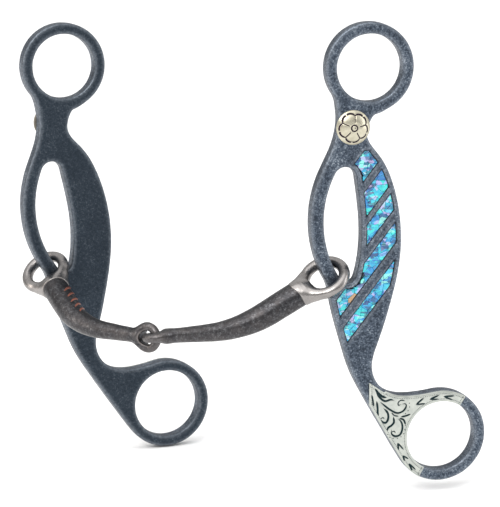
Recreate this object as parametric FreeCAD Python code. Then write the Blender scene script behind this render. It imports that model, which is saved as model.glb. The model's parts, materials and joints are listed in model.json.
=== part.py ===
"""Short-shank gag curb bit with a single-jointed mouthpiece.

Millimetres, +Z up. The near cheek is the fixed piece: its plate lies in the XZ plane with its
decorated outer face towards -Y, and the origin is the centre of its headstall ring. +X is the
back of the bit, where the wing and the rein ring are. The off cheek is the near cheek's mirror
image. Both mouth halves are one part used twice, the off one turned over.
"""
import FreeCAD, Part
import math
import os
from FreeCAD import Placement, Rotation, Vector

# ---- cheek plate -------------------------------------------------------------------------
PLATE_T = 6.0              # thickness of the steel plate
EDGE_R = 0.9               # rounding of every plate edge
HEAD_HOLE_R = 12.7         # headstall ring, a 1 inch hole
HEAD_BAND = 4.3            # width of the metal round it
REIN_HOLE_R = 13.7         # rein ring
REIN_BAND = 4.3
REIN_CENTRE = (29.6, -143.3)

# the thin front bar is an arc, and the end ring slides round its centre
BAR_MIDDLE = (-20.0, -57.5)    # foremost point of its centreline
GAG_R = 42.7               # radius of its centreline
GAG_BAR_W = 5.2            # width of the thin bar
BAR_TOP = 25.5             # angles above and below the arc centre where the outer arc ends
BAR_LOW = -30.0
SLOT_TOP = 26.9            # centre of the slot's top and bottom ends, as angles
SLOT_LOW = -34.2
SLOT_TOP_R = 4.3
SLOT_BACK_TOP = 8.0        # where the slot's back wall leaves each end, as angles on that end
SLOT_BACK_LOW = -17.0
SLOT_BULGE = 2.2           # how far the slot's back wall bows out

# where the outline leaves each ring, as angles on the ring, and the free points between
HEAD_FRONT = 215.0
HEAD_BACK = 302.0
REIN_FRONT = 212.0
REIN_BACK = 100.0
NECK_FRONT = [(-12.4, -15.0), (-12.1, -20.0), (-13.2, -26.5)]
SHANK_FRONT = [(-14.6, -87.0), (-12.8, -95.0), (-9.9, -105.0), (-6.7, -115.0), (-1.8, -125.0), (6.7, -140.0)]
WEB_TOP = [(20.0, -126.3), (13.5, -126.2), (7.6, -124.2), (3.4, -119.8), (2.0, -114.0)]
WING_BACK = [(4.3, -105.0), (9.0, -90.0), (12.3, -75.0), (12.7, -60.0), (9.8, -45.0), (3.6, -32.5)]
NECK_BACK = [(-0.9, -24.2), (1.4, -18.2)]

# ---- trim on the outer face --------------------------------------------------------------
POCKET_DEPTH = 1.3
POCKET_RIM = 2.1           # steel left between a pocket and the plate's edge
POCKET_TOP = -31.0         # height of the first pocket's top
INSET_STEP = 3.5           # spacing of the points that an inset outline is drawn through
INLAY_T = 0.8
INLAY_GAP = 0.05           # gap all round an inlay
RIB_ANGLE = 52.0           # rise of the ribs between the pockets
RIBS = [(26.0, 2.9), (34.9, 2.2), (42.6, 3.5), (51.3, 3.8)]   # place across the ribs, and width
POCKET_END = 57.9          # last pocket's lower edge, in the same measure
CONCHO_R = 6.5
CONCHO_T = 2.4             # height of the dome
CONCHO_CENTRE = (-6.6, -22.0)
OVERLAY_T = 0.8
OVERLAY_INSET = 0.12       # from the plate's outline, over its rounded edge
OVERLAY_TIP = (0.6, -120.4)
OVERLAY_THROAT = (6.5, -124.6)
OVERLAY_ENDS = (57.5, 241.0)   # angles of the two square ends on the rein ring

# ---- mouth half --------------------------------------------------------------------------
WIRE_D = 4.3               # wire of the end ring
RING_HOLE_D = 11.4
SEAT_CLEAR = 0.28          # end ring to the thin bar's rounded corners, where it hangs
RUN_GAP = 0.05             # running gap between a ring or eye and the piece that turns on it
FERRULE_LEN = 3.6          # visible length past the end ring
FERRULE_R = 5.1
BAR_STRAIGHT = 24.9        # ring centre to the start of the bend
BEND_R = 38.0
BEND = 36.7
BAR_TAIL = 20.75            # end of the bend to the eye centre
BAR_R = [(0.0, 5.1), (0.3, 4.95), (0.5, 4.05), (0.7, 3.35), (0.9, 2.85), (1.0, 2.75)]  # radius along it
EYE_WIRE_D = 3.4
EYE_R = 4.2                # centreline radius of the eye
EYE_TWIST = 45.0           # eye turned about the bar, away from the end ring's plane
EYE_GAP = 0.3              # between the two eyes where they pull on each other

COPPERS = 5
COPPER_W = 1.3
COPPER_DEPTH = 1.0
COPPER_PITCH = 3.8
COPPER_START = 17.5        # first strip, from the ring centre
COPPER_SLANT = 38.0
COPPER_SIDE = 200.0        # side of the bar they are let into, as an angle about it

# ---- pose as it lies at rest -------------------------------------------------------------
NEAR_SLIDE = -29.1         # end rings low on the thin bars, as angles about the gag centre
OFF_SLIDE = -32.0
NEAR_TILT = 28.0           # tilt of each end ring from square across its thin bar
OFF_TILT = 22.7
NEAR_SWIVEL = 0.65
NEAR_EYE_TURN = -15.6
OFF_EYE_TURN = 9.9
OFF_SWIVEL = 79.4

# ---- derived -----------------------------------------------------------------------------
HALF_T = PLATE_T / 2
HEAD_R = HEAD_HOLE_R + HEAD_BAND
REIN_R = REIN_HOLE_R + REIN_BAND
GAG_CENTRE = (BAR_MIDDLE[0] + GAG_R, BAR_MIDDLE[1])
WIRE_R = WIRE_D / 2
RING_R = (RING_HOLE_D + WIRE_D) / 2
BAR_INNER = GAG_R - GAG_BAR_W / 2
BAR_OUTER = GAG_R + GAG_BAR_W / 2
RING_HOLE_R = RING_HOLE_D / 2
CORNER = (HALF_T - 0.35 * EDGE_R) / math.cos(math.radians(max(NEAR_TILT, OFF_TILT)))   # along the wire
CORNER_SAG = RING_HOLE_R - math.sqrt(RING_HOLE_R ** 2 - CORNER ** 2) - 0.24 * EDGE_R
SEAT_GAP = SEAT_CLEAR + CORNER_SAG              # the wire curves towards the bar's corners
WIRE_PATH = BAR_INNER - SEAT_GAP - WIRE_R       # radius on which the wire runs in the slot
RING_PATH = WIRE_PATH + RING_R                  # radius of the end ring's centre
SLOT_LOW_R = BAR_INNER - WIRE_PATH              # slot's bottom end, round the wire
BEND_LEN = math.radians(BEND) * BEND_R
FERRULE_START = RING_R - 0.4
BAR_START = RING_R + WIRE_R + FERRULE_LEN - 2.0
EYE_WIRE_R = EYE_WIRE_D / 2
PATH_LEN = BAR_STRAIGHT + BEND_LEN + BAR_TAIL
EYE_PITCH = 2 * EYE_R - 2 * EYE_WIRE_R - EYE_GAP

X, Y, Z = Vector(1, 0, 0), Vector(0, 1, 0), Vector(0, 0, 1)


def flat(point):
    """A point of the plate's outline, in the plate's middle plane."""
    return Vector(point[0], 0, point[1])


def on_circle(centre, radius, angle):
    """A point on a circle in the plate's plane; the angle starts at +X and rises towards +Z."""
    a = math.radians(angle)
    return flat((centre[0] + radius * math.cos(a), centre[1] + radius * math.sin(a)))


def heading(angle):
    """Direction of travel at an angle on a circle, going from +X towards +Z."""
    a = math.radians(angle)
    return Vector(-math.sin(a), 0, math.cos(a))


def arc(centre, radius, start, end):
    """An arc in the plate's plane through rising angles."""
    middle = (start + end) / 2
    points = [on_circle(centre, radius, a) for a in (start, middle, end)]
    return Part.Arc(*points).toShape()


def curve(points, start_heading, end_heading):
    """A smooth curve through points, leaving and arriving along the two headings."""
    spline = Part.BSplineCurve()
    spline.interpolate(Points=points, InitialTangent=start_heading, FinalTangent=end_heading)
    return spline.toShape()


def gag_angle(rise):
    """Angle on circles about the gag centre, of a place this far above its level on the front."""
    return 180.0 - rise


def outline():
    """Outer edge of the cheek, anticlockwise seen from the front."""
    head = (0.0, 0.0)
    top, low = gag_angle(BAR_TOP), gag_angle(BAR_LOW)
    neck = [on_circle(head, HEAD_R, HEAD_FRONT)]
    neck += [flat(p) for p in NECK_FRONT]
    neck += [on_circle(GAG_CENTRE, BAR_OUTER, top)]
    shank = [on_circle(GAG_CENTRE, BAR_OUTER, low)]
    shank += [flat(p) for p in SHANK_FRONT]
    shank += [on_circle(REIN_CENTRE, REIN_R, REIN_FRONT)]
    back = [on_circle(REIN_CENTRE, REIN_R, REIN_BACK)]
    back += [flat(p) for p in WEB_TOP + WING_BACK + NECK_BACK]
    back += [on_circle(head, HEAD_R, HEAD_BACK)]
    edges = [
        arc(head, HEAD_R, HEAD_BACK, HEAD_FRONT + 360),
        curve(neck, heading(HEAD_FRONT), heading(top)),
        arc(GAG_CENTRE, BAR_OUTER, top, low),
        curve(shank, heading(low), heading(REIN_FRONT)),
        arc(REIN_CENTRE, REIN_R, REIN_FRONT, REIN_BACK + 360),
        curve(back, heading(REIN_BACK), heading(HEAD_BACK)),
    ]
    return Part.Wire(edges)


def slot():
    """The slot between the thin bar and the wing, which the end ring passes through."""
    top, low = gag_angle(SLOT_TOP), gag_angle(SLOT_LOW)
    top_at = on_circle(GAG_CENTRE, BAR_INNER - SLOT_TOP_R, top)
    low_at = on_circle(GAG_CENTRE, WIRE_PATH, low)
    top_centre = (top_at.x, top_at.z)
    low_centre = (low_at.x, low_at.z)
    back_top = on_circle(top_centre, SLOT_TOP_R, SLOT_BACK_TOP)
    back_low = on_circle(low_centre, SLOT_LOW_R, SLOT_BACK_LOW)
    back_mid = (back_top + back_low) / 2 + X * SLOT_BULGE
    back = [back_low, back_mid, back_top]
    edges = [
        arc(GAG_CENTRE, BAR_INNER, top, low),
        arc(low_centre, SLOT_LOW_R, low, SLOT_BACK_LOW + 360),
        curve(back, heading(SLOT_BACK_LOW), heading(SLOT_BACK_TOP)),
        arc(top_centre, SLOT_TOP_R, SLOT_BACK_TOP, top),
    ]
    return Part.Wire(edges)


def circle(centre, radius):
    """A round hole's edge in the plate's plane."""
    return Part.Wire(Part.makeCircle(radius, flat(centre), Y))


def slab(wire, low, high):
    """A flat piece with this outline, between two depths along Y."""
    face = Part.Face(wire) if isinstance(wire, Part.Wire) else wire
    moved = face.translated(Y * low)
    return moved.extrude(Y * (high - low))


def polygon(points):
    """A closed straight-sided outline in the plate's plane."""
    return Part.makePolygon([flat(p) for p in points + points[:1]])


def plate_blank():
    """The cheek before its pockets: one plate with three openings and rounded edges."""
    blank = slab(outline(), -HALF_T, HALF_T)
    for hole in (circle((0, 0), HEAD_HOLE_R), circle(REIN_CENTRE, REIN_HOLE_R), slot()):
        blank = blank.cut(slab(hole, -PLATE_T, PLATE_T))
    rims = [e for e in blank.Edges if abs(e.BoundBox.YMax - e.BoundBox.YMin) < 1e-6]
    return blank.makeFillet(EDGE_R, rims)


def inset_face(wire, distance):
    """The area inside an outline, shrunk (or grown, when negative) by a distance."""
    points = []
    for edge in wire.OrderedEdges:
        count = max(3, round(edge.Length / INSET_STEP))
        for i in range(count):
            u = edge.getParameterByLength(edge.Length * i / count)
            ahead = edge.tangentAt(u)
            points.append(edge.valueAt(u) + Vector(-ahead.z, 0, ahead.x) * distance)
    spline = Part.BSplineCurve()
    spline.interpolate(Points=points, PeriodicFlag=True)
    return Part.Face(Part.Wire(spline.toShape()))


def band(near_edge, far_edge):
    """A long strip along the ribs, between two places measured across them."""
    a = math.radians(RIB_ANGLE)
    along = Vector(math.cos(a), 0, math.sin(a)) * 200
    across = Vector(math.sin(a), 0, -math.cos(a))
    corners = [across * near_edge - along, across * far_edge - along]
    corners += [across * far_edge + along, across * near_edge + along]
    return Part.Face(Part.makePolygon(corners + corners[:1]))


def pocket_faces(gap):
    """The five pocket outlines of the wing, each shrunk by a gap."""
    rim = POCKET_RIM + gap
    wing = [(-60, POCKET_TOP - gap), (60, POCKET_TOP - gap), (60, -130), (-60, -130)]
    field = inset_face(outline(), rim).common(Part.Face(polygon(wing)))
    field = field.cut(inset_face(slot(), -rim))
    field = field.cut(band(-200, slot_back_edge()))
    starts = [slot_back_edge()] + [place + width / 2 for place, width in RIBS]
    ends = [place - width / 2 for place, width in RIBS] + [POCKET_END]
    faces = []
    for start, end in zip(starts, ends):
        pieces = field.common(band(start + gap, end - gap)).Faces
        faces.append(max(pieces, key=lambda piece: piece.Area))
    return faces


def slot_back_edge():
    """Where the first pocket starts, in the measure used across the ribs."""
    return RIBS[0][0] - RIBS[0][1] / 2 - 7.0


def cheek_plate():
    """The cheek with its five pockets, each as deep as its inlay and a little more."""
    plate = plate_blank()
    for face in pocket_faces(0.0):
        plate = plate.cut(slab(face, -PLATE_T, -HALF_T + POCKET_DEPTH))
    return plate


def inlays():
    """Five opal-chip plates, each bedded on its pocket's floor."""
    floor = -HALF_T + POCKET_DEPTH
    return [slab(face, floor - INLAY_T, floor) for face in pocket_faces(INLAY_GAP)]


def concho():
    """Domed button soldered on the outer face of the neck."""
    ball_r = (CONCHO_R ** 2 + CONCHO_T ** 2) / (2 * CONCHO_T)
    base = flat(CONCHO_CENTRE) - Y * HALF_T
    ball = Part.makeSphere(ball_r, base + Y * (ball_r - CONCHO_T))
    disc = Part.makeCylinder(CONCHO_R + 1, CONCHO_T + 1, base, -Y)
    return ball.common(disc)


def overlay():
    """Thin silver cap on the web and the first part of each arm of the rein ring."""
    face = inset_face(outline(), OVERLAY_INSET)
    face = face.cut(Part.Face(circle(REIN_CENTRE, REIN_HOLE_R + OVERLAY_INSET)))
    reach = 3 * REIN_R
    upper = on_circle(REIN_CENTRE, reach, OVERLAY_ENDS[0])
    lower = on_circle(REIN_CENTRE, reach, OVERLAY_ENDS[1])
    area = [OVERLAY_TIP, OVERLAY_THROAT, (upper.x, upper.z), REIN_CENTRE, (lower.x, lower.z)]
    area += [(OVERLAY_TIP[0], lower.z)]
    face = face.common(Part.Face(polygon(area)))
    face = max(face.Faces, key=lambda piece: piece.Area)
    cap = slab(face, -HALF_T - OVERLAY_T, -HALF_T + EDGE_R).cut(plate_blank())
    return max(cap.Solids, key=lambda piece: piece.Volume)


# ---- mouth half, ring centre at the origin, ring axis along Z, bar along +X ----------------

def path(s):
    """Place and direction of the bar's centreline at a distance from the ring centre."""
    turned = min(max(s - BAR_STRAIGHT, 0.0), BEND_LEN) / BEND_R
    direction = Vector(math.cos(turned), -math.sin(turned), 0)
    bent = Vector(BEND_R * math.sin(turned), -BEND_R * (1 - math.cos(turned)), 0)
    straight = X * min(s, BAR_STRAIGHT)
    tail = direction * max(s - BAR_STRAIGHT - BEND_LEN, 0.0)
    return straight + bent + tail, direction


def end_ring():
    """The round ring that runs on the thin bar."""
    return Part.makeTorus(RING_R, WIRE_R)


def lofted(sections):
    """A round bar through (distance along the path, radius) sections."""
    wires = []
    for s, radius in sections:
        place, direction = path(s)
        wires.append(Part.Wire(Part.makeCircle(radius, place, direction)))
    return Part.makeLoft(wires, True, False)


def ferrule():
    """The collar between the end ring and the bar, hollowed to saddle the ring."""
    middle = (FERRULE_START + BAR_START) / 2
    collar = lofted([(FERRULE_START, 3.0), (middle, 4.3), (BAR_START, FERRULE_R)])
    ring_space = Part.makeTorus(RING_R, WIRE_R + RUN_GAP)
    hole_space = Part.makeCylinder(RING_R, 4 * FERRULE_R, Vector(0, 0, -2 * FERRULE_R))
    return collar.cut(ring_space).cut(hole_space)


def eye_frame():
    """Frame of the eye: origin at its centre, X out along the bar, Z along its axis."""
    place, direction = path(PATH_LEN)
    twist = Placement(Vector(), Rotation(X, EYE_TWIST))
    along = Placement(place, Rotation(direction, Z.cross(direction), Z, "ZXY"))
    return along.multiply(twist)


def centre_eye(frame):
    """One eye of the centre joint."""
    eye = Part.makeTorus(EYE_R, EYE_WIRE_R)
    return eye.transformed(frame.toMatrix())


def copper_cutter(index):
    """A slanted slot across the side of the bar for one copper strip."""
    s = COPPER_START + index * COPPER_PITCH
    place, direction = path(s)
    radius = bar_radius(s)
    box = Part.makeBox(COPPER_W, 4 * radius, 2 * radius)
    box.translate(Vector(-COPPER_W / 2, -2 * radius, radius - COPPER_DEPTH))
    box.rotate(Vector(), Z, COPPER_SLANT)
    box.rotate(Vector(), X, COPPER_SIDE - 90.0)
    box.rotate(Vector(), Z, math.degrees(math.atan2(direction.y, direction.x)))
    box.translate(place)
    return box


def bar_radius(s):
    """Radius of the bar at a distance along the path."""
    share = (s - BAR_START) / (PATH_LEN - EYE_R - BAR_START)
    for (t0, r0), (t1, r1) in zip(BAR_R, BAR_R[1:]):
        if share <= t1:
            return r0 + (r1 - r0) * (share - t0) / (t1 - t0)
    return BAR_R[-1][1]


def bar_blank():
    """The tapered, bent iron bar from the ferrule to the eye."""
    length = PATH_LEN - EYE_R - BAR_START
    count = 9
    stations = [BAR_START + length * i / count for i in range(count + 1)]
    blank = lofted([(s, bar_radius(s)) for s in stations])
    frame = eye_frame()
    hollow = Part.makeCylinder(EYE_R, 8 * EYE_WIRE_R, Vector(0, 0, -4 * EYE_WIRE_R))
    return blank.cut(hollow.transformed(frame.toMatrix()))


def mouth_bar(eye_gap):
    """The iron bar with its copper grooves, its end hollowed to meet the eye."""
    bar = bar_blank()
    eye_space = Part.makeTorus(EYE_R, EYE_WIRE_R + eye_gap)
    bar = bar.cut(eye_space.transformed(eye_frame().toMatrix()))
    for index in range(COPPERS):
        bar = bar.cut(copper_cutter(index))
    return bar


def copper(index):
    """One copper strip, flush with the bar."""
    return bar_blank().common(copper_cutter(index))


# ---- assembly ----------------------------------------------------------------------------

def ring_seat(slid, tilt):
    """Frame of an end ring on its thin bar, in the cheek's frame: X away from the gag centre."""
    level = Placement(flat(GAG_CENTRE) - X * RING_PATH, Rotation(-X, -Y, Z, "ZXY"))
    tipped = Placement(Vector(), Rotation(X, -tilt))
    slide = Placement(Vector(), Rotation(Y, slid), flat(GAG_CENTRE))
    return slide.multiply(level).multiply(tipped)


def turn(angle):
    """A turn about the frame's own Z."""
    return Placement(Vector(), Rotation(Z, angle))


def frames():
    """Frame of every moving body, worked out along the chain from the near cheek."""
    near_ring = ring_seat(NEAR_SLIDE, NEAR_TILT)
    near_half = near_ring.multiply(turn(NEAR_SWIVEL))
    near_eye = near_half.multiply(eye_frame())
    link = near_eye.multiply(turn(NEAR_EYE_TURN))
    crossed = Placement(X * EYE_PITCH, Rotation(-X, -Z, -Y, "ZXY"))
    off_eye = link.multiply(crossed)
    off_half = off_eye.multiply(turn(OFF_EYE_TURN)).multiply(eye_frame().inverse())
    turned_over = Placement(Vector(), Rotation(X, 180))
    off_ring = off_half.multiply(turned_over).multiply(turn(-OFF_SWIVEL))
    off_cheek = off_ring.multiply(ring_seat(OFF_SLIDE, OFF_TILT).inverse())
    return {
        "near_cheek": Placement(),
        "near_ring": near_ring,
        "near_half": near_half,
        "near_eye": near_eye,
        "link": link,
        "off_eye": off_eye,
        "off_half": off_half,
        "off_ring": off_ring,
        "off_cheek": off_cheek,
    }


def cheek_side(side, frame, handed):
    """All pieces of one cheek."""
    pieces = {"cheek": cheek_plate(), "concho": concho(), "rein_overlay": overlay()}
    for number, inlay in enumerate(inlays(), 1):
        pieces[f"inlay_{number}"] = inlay
    return {f"{side}_{name}": place(handed(shape), frame) for name, shape in pieces.items()}


def mouth_side(side, frame, eye_gap):
    """The bar, ferrule and copper strips of one mouth half."""
    pieces = {"ferrule": ferrule(), "mouth_bar": mouth_bar(eye_gap)}
    for index in range(COPPERS):
        pieces[f"copper_{index + 1}"] = copper(index)
    return {f"{side}_{name}": place(shape, frame) for name, shape in pieces.items()}


def place(shape, frame):
    """A copy of a shape, moved from its own frame into the assembly."""
    moved = shape.copy()
    moved.Placement = frame.multiply(moved.Placement)
    return moved


def mirrored(shape):
    """The other-handed copy of a cheek piece."""
    return shape.mirror(Vector(), Y)


def assembly():
    """Every node by name."""
    at = frames()
    nodes = cheek_side("near", at["near_cheek"], lambda shape: shape)
    nodes.update(cheek_side("off", at["off_cheek"], mirrored))
    nodes.update(mouth_side("near", at["near_half"], RUN_GAP))
    nodes.update(mouth_side("off", at["off_half"], 0.0))
    nodes["near_end_ring"] = place(end_ring(), at["near_ring"])
    nodes["off_end_ring"] = place(end_ring(), at["off_ring"])
    nodes["near_centre_eye"] = centre_eye(at["link"])
    nodes["off_centre_eye"] = centre_eye(at["off_half"].multiply(eye_frame()))
    return nodes


def main():
    """Write one STEP file for each node."""
    os.makedirs("parts", exist_ok=True)
    for name, shape in assembly().items():
        solids = shape.Solids
        if len(solids) != 1 or not shape.isValid():
            print("check", name, len(solids), shape.isValid())
        solids[0].exportStep(f"parts/{name}.step")


main()
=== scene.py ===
"""Finished meshes, materials, light and camera for the gag curb bit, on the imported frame."""

import json
import math
import random

import bmesh
import bpy
import numpy as np
from mathutils import Matrix, Vector


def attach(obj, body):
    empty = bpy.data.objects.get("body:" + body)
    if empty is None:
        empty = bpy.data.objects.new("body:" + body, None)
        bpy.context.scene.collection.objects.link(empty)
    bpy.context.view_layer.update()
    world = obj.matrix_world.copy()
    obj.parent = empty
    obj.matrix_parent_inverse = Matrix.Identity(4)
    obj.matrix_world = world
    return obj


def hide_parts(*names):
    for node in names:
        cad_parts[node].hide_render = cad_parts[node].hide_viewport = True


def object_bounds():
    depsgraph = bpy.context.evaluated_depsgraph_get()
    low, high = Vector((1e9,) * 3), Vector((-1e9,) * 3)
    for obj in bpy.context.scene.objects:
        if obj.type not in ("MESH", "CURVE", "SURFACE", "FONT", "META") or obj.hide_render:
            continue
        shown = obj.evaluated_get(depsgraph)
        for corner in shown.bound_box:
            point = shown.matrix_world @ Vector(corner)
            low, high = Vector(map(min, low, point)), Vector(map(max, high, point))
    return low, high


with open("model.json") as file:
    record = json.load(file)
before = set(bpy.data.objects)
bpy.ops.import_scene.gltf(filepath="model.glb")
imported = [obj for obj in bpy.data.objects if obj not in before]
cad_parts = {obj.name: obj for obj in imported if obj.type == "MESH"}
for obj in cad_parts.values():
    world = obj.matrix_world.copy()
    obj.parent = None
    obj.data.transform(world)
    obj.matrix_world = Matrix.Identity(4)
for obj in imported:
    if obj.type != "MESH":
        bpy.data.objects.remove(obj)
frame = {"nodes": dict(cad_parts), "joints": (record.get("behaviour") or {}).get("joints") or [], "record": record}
cad_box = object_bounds()

MM = 0.001
joints = {joint["name"]: joint for joint in frame["joints"]}
mounts = {mount["name"]: mount for mount in frame["record"]["mounts"]}

# ---- sizes, in mm, as the CAD has them ----------------------------------------------------
HALF_T = 3.0
REIN_CENTRE = (29.6, -143.3)
POCKET_FLOOR = HALF_T - 1.3
CONCHO_CENTRE, CONCHO_R, CONCHO_T = (-6.6, -22.0), 6.5, 2.4
OVERLAY_T = 0.8
RIB_ANGLE = math.radians(52.0)
RING_R, WIRE_R = 7.85, 2.15
FERRULE_END = 11.6
RING_WIDENING = 1.3                # how much thicker the ring wire is where it meets the bar
LAP_SIDE = math.radians(131.0)     # side of the bar where the ferrule reaches furthest
STRAIGHT, BEND_R, BEND, TAIL = 24.9, 38.0, math.radians(36.7), 20.75
BAR_R = [(0.0, 5.1), (0.3, 4.95), (0.5, 4.05), (0.7, 3.35), (0.9, 2.85), (1.0, 2.75)]
EYE_R, EYE_WIRE_R, EYE_TWIST = 4.2, 1.7, math.radians(45.0)
COPPERS, COPPER_W, COPPER_START, COPPER_PITCH = 5, 1.3, 17.5, 3.8
COPPER_SLANT, COPPER_SIDE = math.radians(38.0), math.radians(200.0)

# finished meshes: the size of their faces, and the opal chips
PLATE_FACE, SILVER_FACE, RING_FACE, IRON_FACE = 0.26, 0.13, 0.24, 0.27
CHIP_PITCH, CHIP_STRETCH, CHIP_GAP = 2.7, 1.35, 0.035
CHIP_SEED = 7
FLOOR_DROP = 0.4

BEND_LEN = BEND_R * BEND
PATH_LEN = STRAIGHT + BEND_LEN + TAIL
BAR_TIP = PATH_LEN - EYE_R


# ---- frames of the bodies, from the record's mounts and joints ------------------------------

def basis(x, y, z, origin):
    """Matrix from a body's own millimetres to the row frame."""
    rows = [[x[i] * MM, y[i] * MM, z[i] * MM, origin[i]] for i in range(3)]
    return Matrix(rows + [[0, 0, 0, 1]])


def cheek_frame(side, handed):
    """The cheek as drawn flat: X to the back of the bit, Z up, the outer face towards -Y."""
    head, rein = (Vector(mounts[f"{side}_{ring}_ring"]["pos_m"]) for ring in ("headstall", "rein"))
    out = Vector(mounts[f"{side}_headstall_ring"]["axis"])
    along = (rein - head).normalized()
    across = out.cross(along) * handed
    x, z = Vector(REIN_CENTRE).normalized()
    return basis(along * x - across * z, -out, along * z + across * x, head)


def path(s):
    """Place and heading, as an angle, of the bar's centreline at a distance from the ring centre."""
    turned = min(max(s - STRAIGHT, 0.0), BEND_LEN) / BEND_R
    tail = max(s - STRAIGHT - BEND_LEN, 0.0)
    x = min(s, STRAIGHT) + BEND_R * math.sin(turned) + tail * math.cos(turned)
    y = -BEND_R * (1 - math.cos(turned)) - tail * math.sin(turned)
    return Vector((x, y, 0.0)), -turned


def mouth_frame(ring_joint, eye_joint, sign):
    """The mouth half: ring centre at the origin, ring axis Z, bar out along X."""
    ring, eye = Vector(joints[ring_joint]["pos_m"]), Vector(joints[eye_joint]["pos_m"])
    z = Vector(joints[ring_joint]["axis"]) * sign
    end = path(PATH_LEN)[0]
    to_eye = (eye - ring).normalized()
    x = Matrix.Rotation(-math.atan2(end.y, end.x), 3, z) @ to_eye
    return basis(x, z.cross(x), z, ring)


def eye_matrix():
    """The centre eye in its mouth half: X out along the bar, Z along the eye's axis."""
    place, heading = path(PATH_LEN)
    turn = Matrix.Rotation(heading, 4, "Z") @ Matrix.Rotation(EYE_TWIST, 4, "X")
    return Matrix.Translation(place) @ turn


# ---- mesh helpers ---------------------------------------------------------------------------

def mesh_of(name, points, faces):
    """A smooth mesh from points and faces."""
    mesh = bpy.data.meshes.new(name)
    mesh.from_pydata(np.asarray(points).tolist(), [], np.asarray(faces).tolist()
                     if isinstance(faces, np.ndarray) else faces)
    mesh.polygons.foreach_set("use_smooth", [True] * len(mesh.polygons))
    mesh.update()
    return mesh


def points_of(mesh):
    """All vertices as an array."""
    co = np.empty(len(mesh.vertices) * 3, np.float32)
    mesh.vertices.foreach_get("co", co)
    return co.reshape(-1, 3).astype(float)


def set_points(mesh, points):
    mesh.vertices.foreach_set("co", points.astype(np.float32).ravel())
    mesh.update()


def normals_of(mesh):
    co = np.empty(len(mesh.vertices) * 3, np.float32)
    mesh.vertex_normals.foreach_get("vector", co)
    return co.reshape(-1, 3).astype(float)


def attribute(mesh, name, values):
    """A number for each vertex, for the materials to read."""
    mesh.attributes.new(name, "FLOAT", "POINT").data.foreach_set("value", values.astype(np.float32))


def smoothed(mesh, points, rounds, share=0.5):
    """The vertices after averaging each with its neighbours."""
    edges = np.empty(len(mesh.edges) * 2, np.int64)
    mesh.edges.foreach_get("vertices", edges)
    a, b = edges.reshape(-1, 2).T
    ends, others = np.concatenate([a, b]), np.concatenate([b, a])
    count = np.maximum(np.bincount(ends, minlength=len(points)), 1)[:, None]
    for _ in range(rounds):
        total = np.stack([np.bincount(ends, points[others, i], len(points)) for i in range(3)], 1)
        points = points * (1 - share) + total / count * share
    return points


def mark_wear_and_corner_shade(mesh, reach=14, full=0.10):
    """Stores how far each vertex stands out (edges, worn bright) and lies back (corners, for painted shade) in its
    surroundings.
    """
    points = points_of(mesh)
    out = ((points - smoothed(mesh, points, reach)) * normals_of(mesh)).sum(1) / full
    attribute(mesh, "wear", np.clip(out, 0, 1))
    # painted shade: darker where the surface lies back, in corners and recesses
    attribute(mesh, "corner_shade", np.clip(-out, 0, 1))


def remeshed(source, size):
    """A copy of a mesh in even faces, in millimetres."""
    mesh = source.copy()
    mesh.transform(Matrix.Scale(1 / MM, 4))
    work = bmesh.new()
    work.from_mesh(mesh)
    bmesh.ops.remove_doubles(work, verts=work.verts, dist=1e-3)
    work.to_mesh(mesh)
    work.free()
    carrier = bpy.data.objects.new("carrier", mesh)
    bpy.context.scene.collection.objects.link(carrier)
    modifier = carrier.modifiers.new("remesh", "REMESH")
    modifier.mode, modifier.voxel_size, modifier.use_smooth_shade = "VOXEL", size, True
    shaped = carrier.evaluated_get(bpy.context.evaluated_depsgraph_get())
    result = bpy.data.meshes.new_from_object(shaped)
    bpy.data.objects.remove(carrier)
    result.materials.clear()
    return result


def closest(points, targets, radii=0.0, block=4000):
    """Distance in the plate's plane from each point to the nearest target, less its radius."""
    best = np.empty(len(points))
    for i in range(0, len(points), block):
        gap = points[i:i + block, None, :] - targets[None, :, :]
        best[i:i + block] = (np.sqrt((gap ** 2).sum(2)) - radii).min(1)
    return best


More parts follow.
